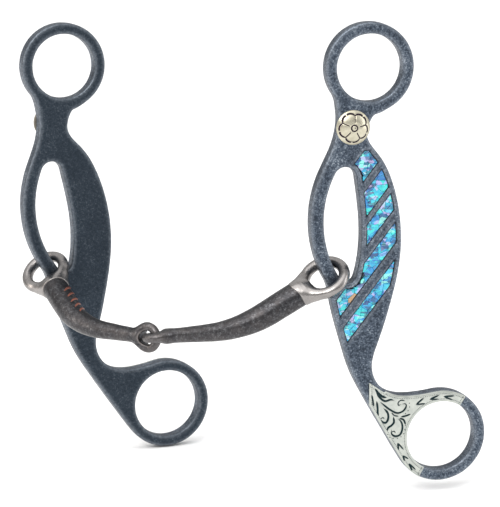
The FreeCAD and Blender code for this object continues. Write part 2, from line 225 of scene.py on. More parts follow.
def surface(name, field, low, high, step):
    """The zero surface of a distance field in even quads, each vertex pulled exactly onto it."""
    axes = [np.arange(a, b + step, step) for a, b in zip(low, high)]
    grid = np.stack(np.meshgrid(*axes, indexing="ij"), -1)
    value = field(grid.reshape(-1, 3)).reshape(grid.shape[:3])
    inside = value < 0
    n = [len(a) - 1 for a in axes]
    total, count = np.zeros((*n, 3)), np.zeros(n)
    for axis in range(3):
        for shift in ((0, 0), (0, 1), (1, 0), (1, 1)):
            start = list(shift)
            start.insert(axis, 0)
            end = list(start)
            end[axis] = 1
            at = [tuple(slice(o, o + m) for o, m in zip(off, n)) for off in (start, end)]
            cross = inside[at[0]] != inside[at[1]]
            v0, v1 = value[at[0]][cross], value[at[1]][cross]
            share = (v0 / (v0 - v1))[:, None]
            total[cross] += grid[at[0]][cross] * (1 - share) + grid[at[1]][cross] * share
            count[cross] += 1
    used = count > 0
    index = np.full(n, -1)
    index[used] = np.arange(used.sum())
    points = total[used] / count[used][:, None]
    faces = []
    for axis, u, v in ((0, 1, 2), (1, 2, 0), (2, 0, 1)):
        window = [slice(None)] * 3
        window[u], window[v] = slice(1, n[u]), slice(1, n[v])
        window[axis] = slice(0, n[axis])
        first = inside[tuple(window)]
        window[axis] = slice(1, n[axis] + 1)
        cross = first != inside[tuple(window)]
        cell = np.argwhere(cross)
        cell[:, u] += 1
        cell[:, v] += 1
        corners = []
        for du, dv in ((-1, -1), (0, -1), (0, 0), (-1, 0)):
            near = cell.copy()
            near[:, u] += du
            near[:, v] += dv
            corners.append(index[tuple(near.T)])
        quads = np.stack(corners, 1)
        turned = ~first[cross]
        quads[turned] = quads[turned][:, ::-1]
        faces.append(quads)
    for _ in range(4):
        here = field(points)
        slope = np.stack([(field(points + d) - field(points - d)) / 0.02
                          for d in np.eye(3) * 0.01], 1)
        pull = here / np.maximum((slope ** 2).sum(1), 0.2)
        points = points - np.clip(pull, -step, step)[:, None] * slope
    return mesh_of(name, points, np.concatenate(faces))


def merge(a, b, blend):
    """Union of two distance fields with a fillet between them."""
    h = np.clip(0.5 + 0.5 * (b - a) / blend, 0, 1)
    return b * (1 - h) + a * h - blend * h * (1 - h)


def ripple(points, size):
    """A gentle uneven height, the same every run, with waves of about this size."""
    waves = [(1.0, 0.7, 0.4, 0.3), (-0.5, 1.1, 0.8, 1.7), (0.9, -0.6, 1.2, 4.1), (0.3, 0.9, -1.3, 2.2)]
    turns = [np.sin((points @ np.array(w[:3])) * (2 * math.pi / size) + w[3]) for w in waves]
    return sum(turns) / len(waves)


# ---- mouthpiece ------------------------------------------------------------------------------

def torus(points, big, small):
    ring = np.hypot(points[:, 0], points[:, 1]) - big
    return np.hypot(ring, points[:, 2]) - small


def along_bar(points):
    """Distance of each point from the bar's centreline, and how far along the bar it is."""
    x, y, z = points.T
    best, where = np.full(len(points), 1e9), np.zeros(len(points))
    s0 = np.clip(x, 0, STRAIGHT)
    angle = np.clip(np.arctan2(x - STRAIGHT, y + BEND_R), 0, BEND)
    ax, ay = STRAIGHT + BEND_R * np.sin(angle), BEND_R * (np.cos(angle) - 1)
    end, heading = path(STRAIGHT + BEND_LEN)
    cx, cy = math.cos(heading), math.sin(heading)
    s2 = np.maximum((x - end.x) * cx + (y - end.y) * cy, 0)
    runs = [
        (np.hypot(x - s0, y), s0),
        (np.hypot(x - ax, y - ay), STRAIGHT + BEND_R * angle),
        (np.hypot(x - end.x - s2 * cx, y - end.y - s2 * cy), STRAIGHT + BEND_LEN + s2),
    ]
    for flat, s in runs:
        closer = flat < best
        best, where = np.where(closer, flat, best), np.where(closer, s, where)
    return np.hypot(best, z), where


def bar_radius(s):
    shares, radii = zip(*BAR_R)
    smooth = sum(np.interp((s - FERRULE_END) / (BAR_TIP - FERRULE_END) + d, shares, radii)
                 for d in (-0.08, -0.04, 0, 0.04, 0.08))
    return smooth / 5


def ring_field(points):
    """End ring and ferrule as one casting: the ring thickens into a collar that laps the iron."""
    x, y, z = points.T
    rho, turn = np.hypot(y, z), np.arctan2(z, y)
    out = np.hypot(x, y)
    towards = np.clip((x / np.maximum(out, 1e-6) - 0.5) / 0.44, 0, 1)
    thick = WIRE_R + RING_WIDENING * towards ** 2
    ring = np.hypot(out - (RING_R - WIRE_R + thick), z) - thick
    width = np.interp(x, [5.0, 7.0, 8.6, 10.0, 11.0, 14.0], [2.2, 3.6, 4.6, 5.1, 5.26, 5.3])
    cone = np.maximum((rho - width) * 0.85, 5.0 - x)
    edge = FERRULE_END + 0.4 + 1.0 * np.cos(turn - LAP_SIDE) + 0.18 * np.cos(4 * turn)
    collar = -merge(-cone, edge - x, 0.3)
    whole = merge(ring, collar, 1.8)
    hole = RING_R - WIRE_R - 0.03 - out
    return -merge(-whole, -hole, 0.5) + 0.01 * ripple(points, 5.0)


EYE_INVERSE = np.array(eye_matrix().inverted())


def iron_field(points):
    """Tapered bent bar with its eye forged on the end."""
    far, s = along_bar(points)
    bar = (far - bar_radius(s)) * 0.97
    bar = np.maximum(bar, FERRULE_END - 0.75 - s)
    own = points @ EYE_INVERSE[:3, :3].T + EYE_INVERSE[:3, 3]
    hole = EYE_R - EYE_WIRE_R * 0.92 - np.hypot(own[:, 0], own[:, 1])
    past = own[:, 0] + EYE_R - 3.0
    bar = -merge(-bar, -past, 1.6)
    whole = merge(torus(own, EYE_R, EYE_WIRE_R), bar, 2.6)
    return -merge(-whole, -hole, 0.5) + 0.035 * ripple(points, 7.0)


def copper_strip(index):
    """A strip let in across the bar, slightly proud, its ends run out to points."""
    along, around = 32, 14
    middle = COPPER_START + index * COPPER_PITCH
    radius = float(bar_radius(middle))
    reach = math.acos((radius - 0.9) / radius) * 1.12
    points = []
    for i in range(along + 1):
        u = -1 + 2 * i / along
        swell = math.sqrt(max(1 - abs(u) ** 3.0, 0.0))
        place = middle + u * reach * radius * math.tan(COPPER_SLANT) + 0.35 * (u * u - 0.4)
        angle = COPPER_SIDE + u * reach
        for k in range(around):
            t = 2 * math.pi * k / around
            across = 0.5 * COPPER_W * swell * math.cos(t)
            up = (0.16 if math.sin(t) > 0 else 0.6) * swell * math.sin(t)
            centre, heading = path(place + across)
            r = float(bar_radius(place + across)) + up
            side = Vector((-math.sin(heading), math.cos(heading), 0)) * math.cos(angle)
            points.append(centre + (side + Vector((0, 0, 1)) * math.sin(angle)) * r)
    faces = []
    for i in range(along):
        for k in range(around):
            a, b = i * around + k, i * around + (k + 1) % around
            faces.append((a, b, b + around, a + around))
    mesh = mesh_of(f"copper_{index + 1}", [tuple(p) for p in points], faces)
    work = bmesh.new()
    work.from_mesh(mesh)
    bmesh.ops.remove_doubles(work, verts=work.verts, dist=1e-4)
    bmesh.ops.recalc_face_normals(work, faces=work.faces)
    work.to_mesh(mesh)
    work.free()
    return mesh


# ---- cheek trim ------------------------------------------------------------------------------

def outer_outline(node):
    """Outline of a flat node's outer face, anticlockwise, from the CAD mesh, in plate mm."""
    mesh = frame["nodes"][node].data
    points = points_of(mesh) / MM
    keys = [tuple(np.round(p, 3)) for p in points]
    low = points[:, 1].min() + 0.02
    sides = {}
    for face in mesh.polygons:
        ring = [keys[v] for v in face.vertices]
        if all(p[1] < low for p in ring):
            for a, b in zip(ring, ring[1:] + ring[:1]):
                if (b, a) in sides:
                    del sides[(b, a)]
                else:
                    sides[(a, b)] = True
    follow = {a: b for a, b in sides}
    start = max(follow)
    loop, here = [start], follow[start]
    while here != start:
        loop.append(here)
        here = follow[here]
    flat = np.array([(p[0], p[2]) for p in loop])
    area = (flat[:, 0] * np.roll(flat[:, 1], -1) - np.roll(flat[:, 0], -1) * flat[:, 1]).sum()
    return flat if area > 0 else flat[::-1]


def spread(outline, step):
    """The outline's points with more between them."""
    found = []
    for a, b in zip(outline, np.roll(outline, -1, 0)):
        count = max(1, math.ceil(np.hypot(*(b - a)) / step))
        found += [a + (b - a) * i / count for i in range(count)]
    return np.array(found)


def clip(polygon, point, normal):
    """The part of a polygon on the side of a line that its normal points away from."""
    kept = []
    for a, b in zip(polygon, polygon[1:] + polygon[:1]):
        da, db = (a - point).dot(normal), (b - point).dot(normal)
        if da <= 0:
            kept.append(a)
        if da * db < 0:
            kept.append(a + (b - a) * (da / (da - db)))
    return kept


def inset(polygon, distance):
    """A nearly convex polygon with every side moved in."""
    for a, b in list(zip(polygon, polygon[1:] + polygon[:1])):
        if (b - a).length > 1e-6:
            out = Vector((b.y - a.y, a.x - b.x)).normalized()
            polygon = clip(polygon, a - out * distance, out)
        if len(polygon) < 3:
            return []
    return polygon


def tidy(polygon, least=0.05):
    """The polygon without its very short sides."""
    kept = []
    for p in polygon:
        if not kept or (p - kept[-1]).length > least:
            kept.append(p)
    if len(kept) > 2 and (kept[0] - kept[-1]).length <= least:
        kept.pop()
    return kept if len(kept) > 2 else []


def opal(number, rng):
    """A mosaic of opal chips set in a dark bed, in the shape of one inlay."""
    outline = outer_outline(f"near_inlay_{number}")
    along = Vector((math.cos(RIB_ANGLE), math.sin(RIB_ANGLE)))
    across = Vector((-along.y, along.x))
    own = [Vector((Vector(p).dot(along) / CHIP_STRETCH, Vector(p).dot(across))) for p in outline]
    low = Vector((min(p.x for p in own), min(p.y for p in own)))
    high = Vector((max(p.x for p in own), max(p.y for p in own)))
    seeds = []
    for i in range(int((high.x - low.x) / CHIP_PITCH) + 3):
        for k in range(int((high.y - low.y) / CHIP_PITCH) + 3):
            jitter = Vector((rng.uniform(-0.42, 0.42), rng.uniform(-0.42, 0.42)))
            seeds.append(low + (Vector((i - 0.5, k - 0.5 + 0.5 * (i % 2))) + jitter) * CHIP_PITCH)
    bed = tidy(inset([Vector(p) for p in outline], 0.03)) or [Vector(p) for p in outline]
    points, faces, chip, tone = [], [], [], []

    def prism(polygon, levels, number_of, colour):
        """A closed stack of outlines of one vertex count, each at its own depth."""
        base, n = len(points), len(polygon)
        for ring, depth in levels:
            points.extend((p.x, -d, p.y) for p, d in zip(ring, depth))
        chip.extend([number_of] * (len(levels) * n))
        tone.extend([colour] * (len(levels) * n))
        for level in range(len(levels) - 1):
            for i in range(n):
                a, b = base + level * n + i, base + level * n + (i + 1) % n
                faces.append((a, b, b + n, a + n))
        faces.append(tuple(base + i for i in reversed(range(n))))
        faces.append(tuple(base + (len(levels) - 1) * n + i for i in range(n)))

    plate = [POCKET_FLOOR] * len(bed), [POCKET_FLOOR + 0.42] * len(bed)
    prism(bed, [(bed, plate[0]), (bed, plate[1])], 0.0, 0.0)
    for i, seed in enumerate(seeds):
        cell = list(own)
        for other in seeds:
            away = other - seed
            if other is not seed and away.length < 4.5 * CHIP_PITCH and cell:
                cell = clip(cell, seed + away / 2, away.normalized())
        value, colour = rng.random(), rng.random()
        rise = rng.uniform(-0.07, 0.07)
        lean, lean_to = rng.uniform(0, 0.05), rng.uniform(0, 6.28)
        if len(cell) < 3:
            continue
        real = tidy([along * (p.x * CHIP_STRETCH) + across * p.y for p in cell], 0.12)
        body = tidy(inset(real, CHIP_GAP), 0.1) if real else []
        if len(body) < 3:
            continue
        middle = sum(body, Vector((0, 0))) / len(body)
        size = sum((p - middle).length for p in body) / len(body)
        if size < 0.35:
            continue
        tip = [middle + (p - middle) * (1 - min(0.4, 0.10 / max((p - middle).length, 0.1)))
               for p in body]
        tilt = Vector((math.cos(lean_to), math.sin(lean_to))) * lean
        top = [POCKET_FLOOR + 0.78 + rise + (p - middle).dot(tilt) for p in tip]
        shoulder = [POCKET_FLOOR + 0.70 + rise + (p - middle).dot(tilt) for p in body]
        under = [POCKET_FLOOR + 0.2] * len(body)
        prism(body, [(body, under), (body, shoulder), (tip, top)], 1.0 + value, colour)
    mesh = mesh_of(f"opal_{number}", points, faces)
    attribute(mesh, "chip", np.array(chip))
    attribute(mesh, "tone", np.array(tone))
    mesh.set_sharp_from_angle(angle=math.radians(25))
    return mesh


def flower():
    """Domed button engraved with a five-petal flower."""
    rings, sectors = 64, 240
    ball = (CONCHO_R ** 2 + CONCHO_T ** 2) / (2 * CONCHO_T)
    rho = np.concatenate([np.linspace(0.012, 1.0, rings), [1.0, 0.985, 0.90]])
    angle = np.linspace(0, 2 * math.pi, sectors, endpoint=False)
    r, a = np.meshgrid(rho * CONCHO_R, angle, indexing="ij")
    share = r / CONCHO_R
    lobe = np.abs(np.cos(2.5 * (a - math.pi / 2 - 0.527)))
    edge = 0.66 + 0.20 * lobe ** 0.45 - 0.025 * np.exp(-((lobe - 1) / 0.04) ** 2)
    broken = 1 - 0.8 * np.exp(-((lobe - 1) / 0.006) ** 2)
    rim_line = np.exp(-((share - edge) / 0.052) ** 4) * broken
    gap_angle = np.arccos(np.clip(lobe, 0, 1)) - math.pi / 2
    gap = np.abs(gap_angle) / 2.5 * r
    between = np.exp(-(gap / (0.13 + 0.17 * share)) ** 4) * (share < edge + 0.02)
    between = between * np.clip((share - 0.24) / 0.12, 0, 1)
    heart = np.exp(-((share - 0.175) / 0.045) ** 4)
    curl = np.exp(-(((r * np.cos(a) - 0.25) / 0.16) ** 2 + ((r * np.sin(a) - 0.05) / 0.5) ** 2))
    lines = 0.45 * np.exp(-((np.mod(a * 25 / (2 * math.pi) + 0.5, 1) - 0.5) / 0.11) ** 2)
    lines = lines * np.clip((0.46 - share) / 0.1, 0, 1) * (share > 0.24)
    cut = np.clip(np.maximum.reduce([rim_line, between, heart, curl, lines]), 0, 1)
    petal = np.clip((edge - share) / 0.08, 0, 1) * np.clip(gap / 0.6, 0, 1)
    crown = np.sqrt(np.maximum(ball ** 2 - r ** 2, 0)) - (ball - CONCHO_T)
    crown = crown * 0.94 + 0.10 * petal + 0.30 * np.clip((0.16 - share) / 0.1, 0, 1)
    y = -(HALF_T + crown - 0.17 * cut)
    y[rings:] = -(HALF_T + 0.12)
    for k, depth in enumerate((0.03, -0.1, -0.25)):
        y[rings + k] = -(HALF_T + depth)
    y[rings - 1] = -(HALF_T + 0.22)
    x, z = CONCHO_CENTRE[0] + r * np.cos(a), CONCHO_CENTRE[1] + r * np.sin(a)
    points = np.stack([x, y, z], -1).reshape(-1, 3)
    faces = []
    for i in range(len(rho) - 1):
        for k in range(sectors):
            b = (k + 1) % sectors
            faces.append((i * sectors + k, (i + 1) * sectors + k, (i + 1) * sectors + b, i * sectors + b))
    faces.append(tuple(reversed(range(sectors))))
    last = (len(rho) - 1) * sectors
    faces.append(tuple(last + k for k in range(sectors)))
    mesh = mesh_of("flower", points, faces)
    stored = cut.copy()
    stored[rings:] = 0.6
    attribute(mesh, "cut", stored.ravel())
    work = bmesh.new()
    work.from_mesh(mesh)
    bmesh.ops.recalc_face_normals(work, faces=work.faces)
    work.to_mesh(mesh)
    work.free()
    return mesh


def stroke(points, width, taper=(0.25, 0.25), step=0.12):
    """Samples of one engraved line, (x, z, half width), swelling from fine ends."""
    pts = [Vector(p) for p in points]
    if len(pts) > 2:
        ends = [pts[0] * 2 - pts[1]] + pts + [pts[-1] * 2 - pts[-2]]
        line = []
        for p0, p1, p2, p3 in zip(ends, ends[1:], ends[2:], ends[3:]):
            for i in range(10):
                t = i / 10
                line.append(0.5 * (2 * p1 + (p2 - p0) * t + (2 * p0 - 5 * p1 + 4 * p2 - p3) * t * t
                                   + (3 * p1 - p0 - 3 * p2 + p3) * t ** 3))
        line.append(pts[-1])
    else:
        line = pts
    runs = [(b - a).length for a, b in zip(line, line[1:])]
    whole, done, found = sum(runs), 0.0, []
    for (a, b), run in zip(zip(line, line[1:]), runs):
        for i in range(max(1, round(run / step))):
            p = a + (b - a) * (i / max(1, round(run / step)))
            t = (done + (p - a).length) / whole
            swell = min(1.0, t / taper[0] if taper[0] else 1, (1 - t) / taper[1] if taper[1] else 1)
            found.append((p.x, p.y, 0.62 * width * max(0.15, math.sin(0.5 * math.pi * swell))))
        done += run
    return found


def scrollwork():
    """Engraved lines of the silver plate: leaf scrolls, chevrons down each arm, dotted borders."""
    cuts = []
    leaves = [
        ([(2.7, -122.6), (4.2, -124.7), (5.9, -126.1), (7.6, -126.6)], 0.75),
        ([(3.0, -123.2), (4.6, -126.2), (6.8, -127.9), (9.0, -127.5), (10.6, -127.9)], 0.70),
        ([(1.5, -125.0), (2.0, -127.4), (2.4, -129.8)], 0.60),
        ([(3.5, -127.6), (3.9, -130.4), (4.0, -132.4), (4.5, -133.6)], 0.70),
        ([(4.6, -127.8), (6.6, -129.6), (8.8, -131.4), (11.6, -132.9), (14.0, -132.4), (15.3, -130.6),
          (14.9, -129.5), (13.4, -129.5)], 0.62),
        ([(13.3, -129.6), (12.3, -129.9), (12.1, -128.9), (13.2, -128.0), (14.9, -128.3)], 0.42),
        ([(6.2, -130.6), (7.9, -132.6), (8.2, -134.8), (7.4, -136.4), (6.1, -136.2), (5.2, -134.9)], 0.72),
        ([(5.2, -134.9), (6.0, -134.4), (6.7, -134.9)], 0.35),
        ([(10.2, -134.2), (10.5, -136.4), (9.6, -137.7), (8.2, -138.6), (7.8, -140.0)], 0.72),
        ([(12.0, -135.0), (13.5, -136.8), (13.9, -139.2), (13.0, -141.6), (11.0, -142.1), (9.6, -141.0),
          (9.6, -139.2)], 0.66),
        ([(9.6, -140.4), (10.6, -140.1), (11.2, -140.9)], 0.35),
        ([(12.6, -135.1), (14.3, -135.8), (15.2, -137.9)], 0.62),
        ([(13.2, -134.6), (15.2, -134.3), (17.2, -133.7)], 0.60),
        ([(9.4, -132.6), (10.6, -133.8), (12.4, -134.3)], 0.42),
    ]
    for points, width in leaves:
        cuts += stroke(points, width)
    dots = [(16.4, -129.4), (16.5, -130.9), (15.9, -132.3), (14.9, -133.4), (14.9, -138.2),
            (14.7, -139.8), (14.2, -141.4), (7.9, -141.3), (8.7, -142.4), (10.1, -143.0),
            (11.8, -143.1), (13.2, -142.5)]
    for x, z in dots:
        cuts += stroke([(x, z), (x + 0.35, z + 0.1)], 0.28)
    chevrons = [
        ((19.2, -130.1), (22.4, -127.6), (23.1, -129.9)),
        ((24.6, -128.4), (28.6, -126.9), (28.5, -128.5)),
        ((30.2, -127.6), (34.8, -127.6), (34.2, -129.3)),
        ((12.1, -144.8), (12.5, -147.8), (14.6, -147.8)),
        ((14.2, -150.0), (15.0, -152.3), (16.6, -151.6)),
        ((16.7, -153.3), (18.1, -156.5), (19.6, -156.2)),
    ]
    for tip, one, two in chevrons:
        cuts += stroke([tip, one], 0.62, (0.3, 0.35))
        cuts += stroke([tip, two], 0.50, (0.3, 0.35))
    rim = spread(outer_outline("near_rein_overlay"), 0.25)
    ahead = np.roll(rim, -2, 0) - np.roll(rim, 2, 0)
    inward = np.stack([-ahead[:, 1], ahead[:, 0]], 1)
    inward /= np.maximum(np.hypot(*inward.T), 1e-6)[:, None]
    for i in range(0, len(rim), 3):
        x, z = rim[i] + inward[i]
        cuts.append((x, z, 0.17))
    return np.array(cuts)


def silver():
    """Engraved silver plate of the rein ring and web, from the CAD plate's own shape."""
    mesh = remeshed(frame["nodes"]["near_rein_overlay"].data, SILVER_FACE)
    points = smoothed(mesh, points_of(mesh), 2)
    cuts = scrollwork()
    outer = points[:, 1] < -HALF_T - OVERLAY_T + 0.12
    flat = points[outer][:, [0, 2]]
    depth = closest(flat, cuts[:, :2], cuts[:, 2])
    cut = np.zeros(len(points))
    cut[outer] = np.clip(0.5 - depth / 0.14, 0, 1)
    rim = spread(outer_outline("near_rein_overlay"), 0.2)
    edge = np.clip(1 - closest(flat, rim) / 0.7, 0, 1)
    points[outer, 1] += 0.16 * cut[outer] + 0.25 * edge ** 2
    set_points(mesh, points)
    attribute(mesh, "cut", cut)
    return mesh


def plate():
    """The steel cheek, its rims and ribs rounded as by wear and tumbling."""
    mesh = remeshed(frame["nodes"]["near_cheek"].data, PLATE_FACE)
    points = smoothed(mesh, points_of(mesh), 3)
    rims = np.concatenate([spread(outer_outline(f"near_inlay_{n}"), 0.25) for n in range(1, 6)])
    front = np.flatnonzero(points[:, 1] < -HALF_T + 0.15)
    near = front[(points[front, 0] < rims[:, 0].max() + 2) & (points[front, 2] > rims[:, 1].min() - 2)
                 & (points[front, 0] > rims[:, 0].min() - 2) & (points[front, 2] < rims[:, 1].max() + 2)]
    rise = np.clip(closest(points[near][:, [0, 2]], rims) / 1.1, 0, 1)
    points[near, 1] += 0.38 * (1 - rise) ** 2
    set_points(mesh, smoothed(mesh, points, 2))
    points = points_of(mesh)
    points += normals_of(mesh) * (0.02 * ripple(points, 9.0) + 0.012 * ripple(points, 2.6))[:, None]
    set_points(mesh, points)
    mark_wear_and_corner_shade(mesh)
    # painted shade down the walls and rims of the opal pockets, a dark line where the surface sinks
    walls = np.flatnonzero((points[:, 1] > -HALF_T - 0.3) & (points[:, 1] < -HALF_T + 1.5))
    pocket_wall_shade = np.zeros(len(points))
    pocket_wall_shade[walls] = np.clip(1.5 - closest(points[walls][:, [0, 2]], rims) / 0.32, 0, 1)
    attribute(mesh, "pocket_wall_shade", pocket_wall_shade)
    # painted shade: the inner face, turned towards the other cheek, darker than the outer face
    attribute(mesh, "inner_face_shade", np.clip(points[:, 1] / (2 * HALF_T) + 0.5, 0, 1))
    return mesh


# ---- materials -------------------------------------------------------------------------------

class Shader:
    """A Principled material with short calls for the nodes that feed it."""

    def __init__(self, name, **sockets):
        self.material = bpy.data.materials.new(name)
        self.material.use_nodes = True
        self.tree = self.material.node_tree
        self.bsdf = self.tree.nodes["Principled BSDF"]
        for socket, value in sockets.items():
            self.bsdf.inputs[socket.replace("_", " ")].default_value = value
        self.place = self.node("ShaderNodeTexCoord").outputs["Object"]

    def node(self, kind, links=(), **settings):
        made = self.tree.nodes.new(kind)
        for key, value in settings.items():
            setattr(made, key, value)
        for socket, value in dict(links).items():
            if isinstance(value, bpy.types.NodeSocket):
                self.tree.links.new(value, made.inputs[socket])
            else:
                made.inputs[socket].default_value = value
        return made

    def noise(self, size, detail=3.0, rough=0.6, stretch=(1, 1, 1)):
        """Noise with features of about this many millimetres."""
        place = self.place
        if stretch != (1, 1, 1):
            place = self.node("ShaderNodeMapping", {"Vector": place, "Scale": stretch}).outputs[0]
        links = {"Vector": place, "Scale": 1 / (size * MM), "Detail": detail, "Roughness": rough}
        return self.node("ShaderNodeTexNoise", links).outputs["Fac"]

    def read(self, name):
        return self.node("ShaderNodeAttribute", attribute_name=name).outputs["Fac"]

    def math(self, operation, a, b=0.0, clamp=False):
        made = self.node("ShaderNodeMath", operation=operation, use_clamp=clamp)
        for socket, value in zip(made.inputs, (a, b)):
            if isinstance(value, bpy.types.NodeSocket):
                self.tree.links.new(value, socket)
            else:
                socket.default_value = value
        return made.outputs[0]

    def span(self, value, low, high, to_low=0.0, to_high=1.0):
        links = {"Value": value, "From Min": low, "From Max": high, "To Min": to_low, "To Max": to_high}
        return self.node("ShaderNodeMapRange", links).outputs[0]

    def ramp(self, value, stops, mode="LINEAR"):
        made = self.node("ShaderNodeValToRGB", {"Fac": value})
        made.color_ramp.interpolation = mode
        while len(made.color_ramp.elements) < len(stops):
            made.color_ramp.elements.new(0.5)
        for element, (at, colour) in zip(made.color_ramp.elements, stops):
            element.position, element.color = at, (*colour, 1.0)
        return made.outputs[0]

    def mix(self, share, a, b, blend="MIX"):
        made = self.node("ShaderNodeMix", data_type="RGBA", blend_type=blend)
        for socket, value in ((made.inputs[0], share), (made.inputs[6], a), (made.inputs[7], b)):
            if isinstance(value, bpy.types.NodeSocket):
                self.tree.links.new(value, socket)
            else:
                socket.default_value = (*value, 1.0) if isinstance(value, tuple) else value
        return made.outputs[2]

    def feed(self, socket, value):
        self.tree.links.new(value, self.bsdf.inputs[socket])

    def bump(self, *heights):
        """Bumps laid over each other: (height, depth in mm)."""
        normal = None
        for height, depth in heights:
            links = {"Height": height, "Distance": depth * MM, "Strength": 1.0}
            made = self.node("ShaderNodeBump", links)
            if normal:
                self.tree.links.new(normal, made.inputs["Normal"])
            normal = made.outputs[0]
        self.feed("Normal", normal)


def steel_material():
    """Antiqued blue-grey steel: speckled, with painted shade in its corners, down its pocket walls and on its
    inner face, worn bright on its edges.
    """
    s = Shader("antiqued_steel", Metallic=0.85)
    speck, grain, cloud = s.noise(0.55, 2), s.noise(1.1, 4, 0.7), s.noise(9.0, 5, 0.6)
    tone = s.math("ADD", s.math("MULTIPLY", speck, 0.55), s.math("MULTIPLY", grain, 0.45))
    tone = s.math("ADD", s.math("MULTIPLY", tone, 0.75), s.math("MULTIPLY", cloud, 0.25))
    base = s.ramp(tone, [(0.38, (0.024, 0.032, 0.045)), (0.49, (0.058, 0.075, 0.102)),
                         (0.57, (0.105, 0.132, 0.170)), (0.65, (0.290, 0.330, 0.375))])
    # painted shade: the inner face darkened
    base = s.mix(s.span(s.read("inner_face_shade"), 0.55, 0.95, 0.0, 0.78), base, (0.016, 0.024, 0.033))
    wear = s.math("MULTIPLY", s.read("wear"), s.span(grain, 0.3, 0.65, 0.35, 1.0), clamp=True)
    base = s.mix(s.math("MULTIPLY", wear, 0.6), base, (0.27, 0.30, 0.34))
    # painted shade in corners and down the pocket walls
    dark = s.math("MAXIMUM", s.read("corner_shade"), s.read("pocket_wall_shade"))
    base = s.mix(s.math("MULTIPLY", dark, 0.9, clamp=True), base, (0.010, 0.012, 0.016))
    s.feed("Base Color", base)
    s.feed("Roughness", s.span(tone, 0.35, 0.65, 0.50, 0.34))
    s.bump((grain, 0.09), (speck, 0.05))
    return s.material


def iron_material():
    """Sweet iron: dark brown-grey, mottled, rubbed brighter on its high side."""
    s = Shader("sweet_iron", Metallic=0.9)
    speck, grain, cloud = s.noise(0.45, 3), s.noise(1.3, 5, 0.7), s.noise(5.0, 4, 0.6)
    tone = s.math("ADD", s.math("MULTIPLY", speck, 0.4), s.math("MULTIPLY", grain, 0.6))
    base = s.ramp(tone, [(0.38, (0.010, 0.010, 0.012)), (0.52, (0.034, 0.036, 0.041)),
                         (0.66, (0.150, 0.152, 0.160))])
    base = s.mix(s.span(cloud, 0.45, 0.7, 0.0, 0.5), base, (0.060, 0.053, 0.052))
    wear = s.math("MULTIPLY", s.read("wear"), 0.6, clamp=True)
    s.feed("Base Color", s.mix(wear, base, (0.30, 0.27, 0.26)))
    s.feed("Roughness", s.span(tone, 0.35, 0.65, 0.44, 0.28))
    s.bump((grain, 0.09), (speck, 0.04))
    return s.material


def stainless_material():
    """Polished stainless casting with faint hairlines."""
    s = Shader("stainless", Metallic=1.0)
    cloud, hair = s.noise(4.0, 3), s.noise(0.5, 2, 0.6, (0.3, 1.0, 3.0))
    s.feed("Base Color", s.ramp(cloud, [(0.35, (0.235, 0.222, 0.215)), (0.65, (0.315, 0.298, 0.290))]))
    s.feed("Roughness", s.span(hair, 0.3, 0.7, 0.24, 0.34))
    s.bump((cloud, 0.05), (hair, 0.004))
    return s.material


def copper_material():
    """Copper strips with a fine mottled grain."""
    s = Shader("copper", Metallic=1.0)
    grain = s.noise(0.5, 4, 0.7)
    s.feed("Base Color", s.ramp(grain, [(0.35, (0.27, 0.080, 0.050)), (0.62, (0.52, 0.200, 0.140))]))
    s.feed("Roughness", s.span(grain, 0.3, 0.7, 0.42, 0.28))
    s.bump((grain, 0.03))
    return s.material


def silver_material(name, light, shade, cut_colour):
    """Engraved german silver with dark lines."""
    s = Shader(name, Metallic=0.95)
    cloud, hair = s.noise(2.5, 4, 0.65), s.noise(0.25, 3, 0.6)
    base = s.ramp(cloud, [(0.35, shade), (0.65, light)])
    cut = s.span(s.read("cut"), 0.25, 0.8)
    s.feed("Base Color", s.mix(cut, base, cut_colour))
    s.feed("Roughness", s.math("ADD", s.span(hair, 0.3, 0.7, 0.26, 0.36), s.math("MULTIPLY", cut, 0.3)))
    s.bump((hair, 0.01), (cloud, 0.03))
    return s.material


